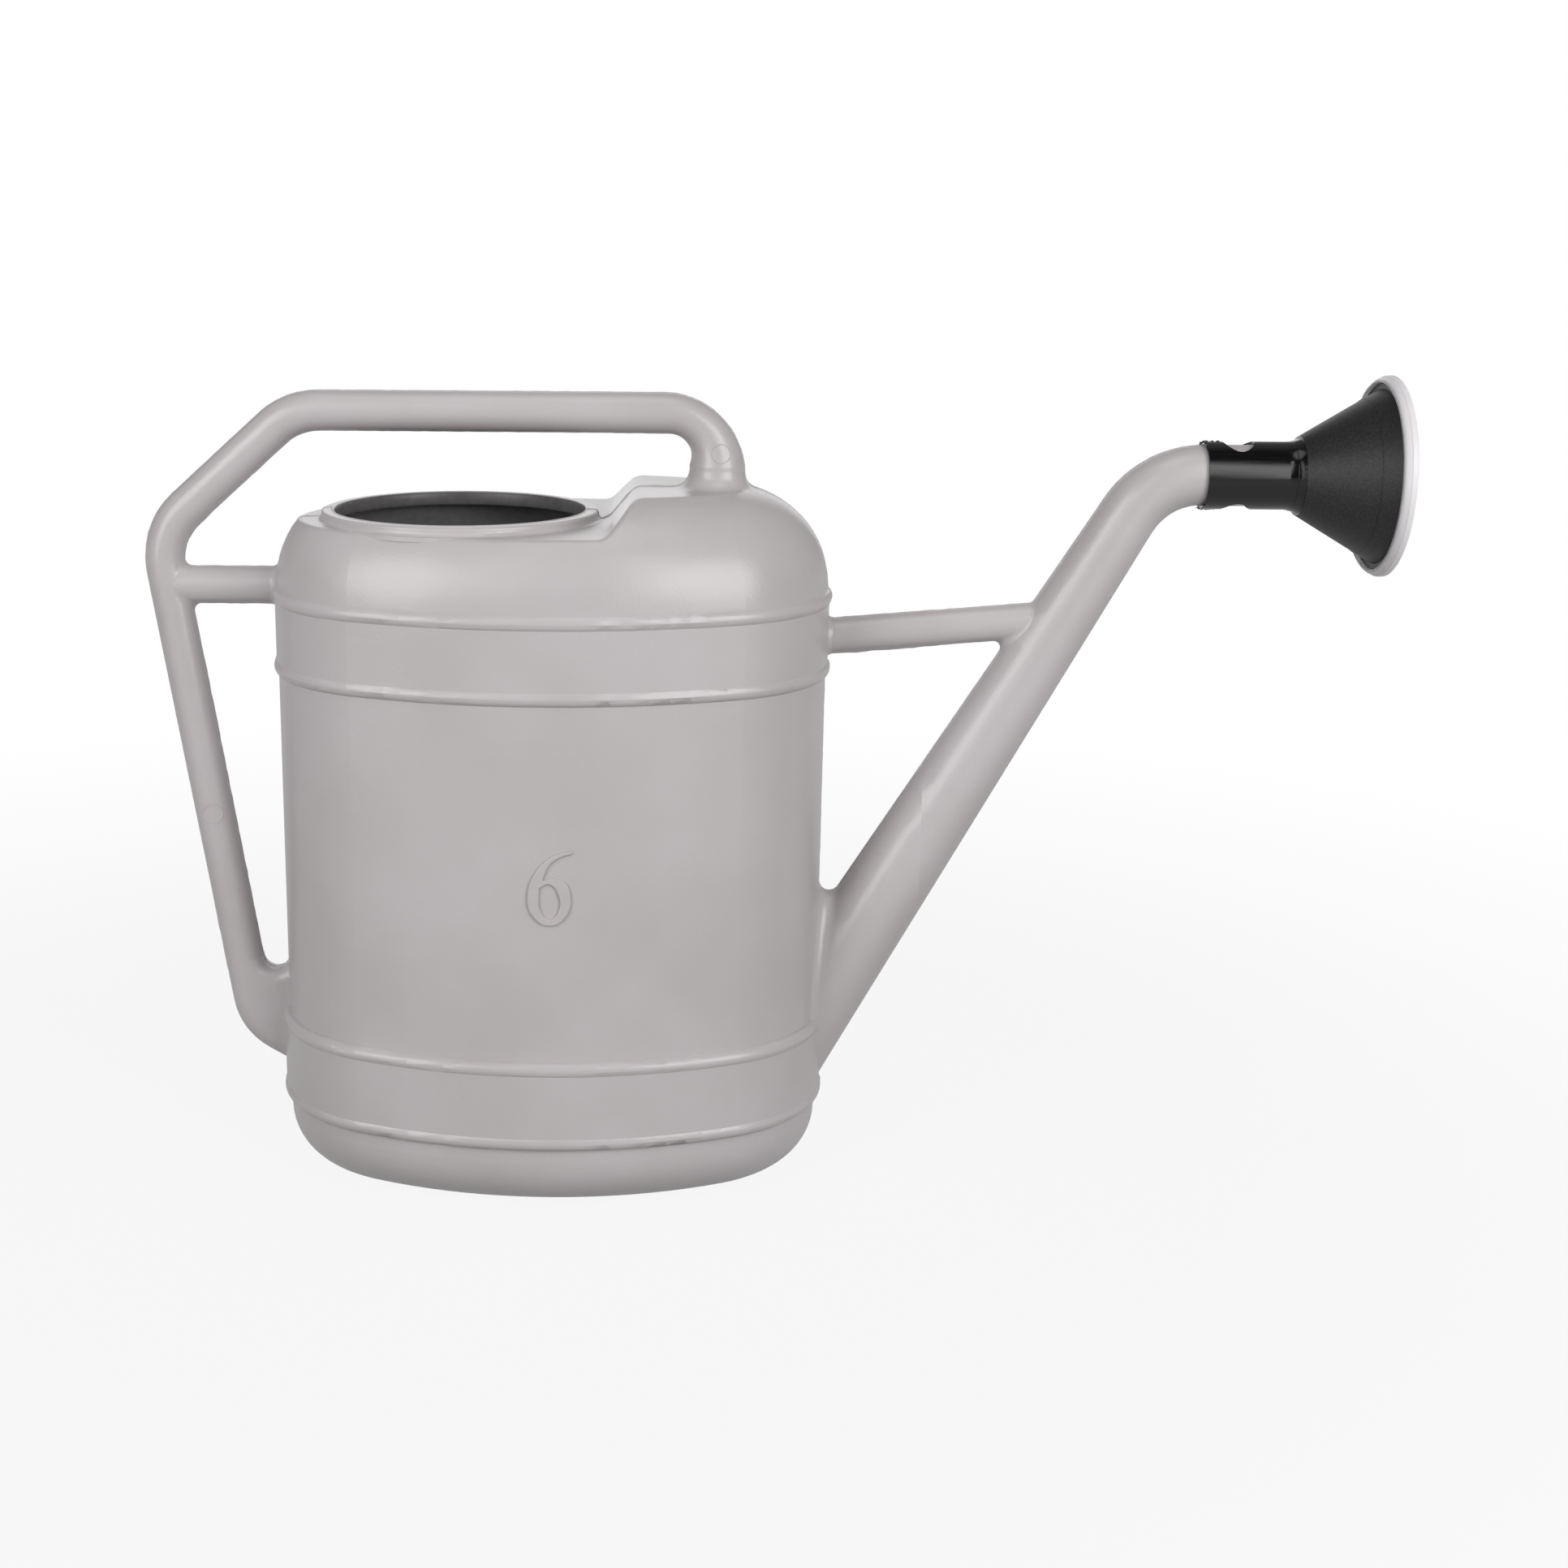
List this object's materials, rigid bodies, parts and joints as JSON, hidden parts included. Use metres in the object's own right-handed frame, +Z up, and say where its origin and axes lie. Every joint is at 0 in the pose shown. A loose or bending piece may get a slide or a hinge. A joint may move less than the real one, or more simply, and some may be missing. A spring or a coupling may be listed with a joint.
{
  "type": "watering can",
  "caption": "Oval moulded plastic garden watering can with a wide round mouth, tube handle, long braced spout and a pull-off black rose with a white sprinkler plate.",
  "frame": {"origin": "middle of the tank's foot, on the ground", "axes": "+X from the handle to the rose, +Y across the tank to its back, +Z up"},
  "size_m": [0.495, 0.1474, 0.3291],
  "materials": {
    "can_grey": "satin moulded polyethylene, light warm grey",
    "rose_black": "black injection moulded, glossy socket and fine-grained cone",
    "plate_white": "satin white moulded"
  },
  "bodies": {
    "can": {"can_body": "can_grey", "spout": "can_grey"},
    "rose": {"rose": "rose_black"},
    "plate": {"rose_plate": "plate_white"}
  },
  "joints": [
    {"name": "rose_pull", "type": "slide", "parent": "can", "child": "rose", "axis": [1, 0, 0], "range_m": [0, 0.06]},
    {"name": "plate_pull", "type": "slide", "parent": "rose", "child": "plate", "axis": [1, 0, 0], "range_m": [0, 0.015]}
  ]
}
